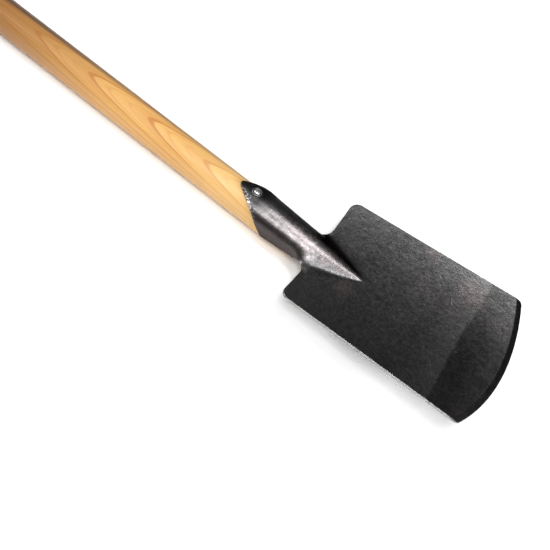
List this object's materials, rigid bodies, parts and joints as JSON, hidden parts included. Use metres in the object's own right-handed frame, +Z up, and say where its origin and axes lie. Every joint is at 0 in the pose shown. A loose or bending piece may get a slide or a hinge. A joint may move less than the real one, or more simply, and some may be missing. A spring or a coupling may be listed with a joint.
{
  "type": "garden spade",
  "caption": "Digging spade with a forged dished blade, a riveted strap-like open socket, a round ash shaft and a wedged wooden T-grip.",
  "frame": {"origin": "on the floor, below the middle of the spade's bounding box, with the spade lying on its back", "axes": "+X along the shaft from the grip towards the cutting edge, +Y across the blade, +Z up out of the dished front face"},
  "size_m": [1.0926, 0.1734, 0.0577],
  "materials": {
    "forged_steel": "dark oiled forging with a faint mottle",
    "bright_steel": "worn bare steel",
    "ash": "clear satin varnish over straight-grained ash",
    "oak": "oiled"
  },
  "bodies": {
    "root": {"blade_head": "forged_steel", "shaft": "ash", "tongue_rivet": "bright_steel", "rivet_washer": "bright_steel", "grip_bar": "ash", "grip_wedge": "oak", "grip_pin": "bright_steel"}
  },
  "joints": []
}
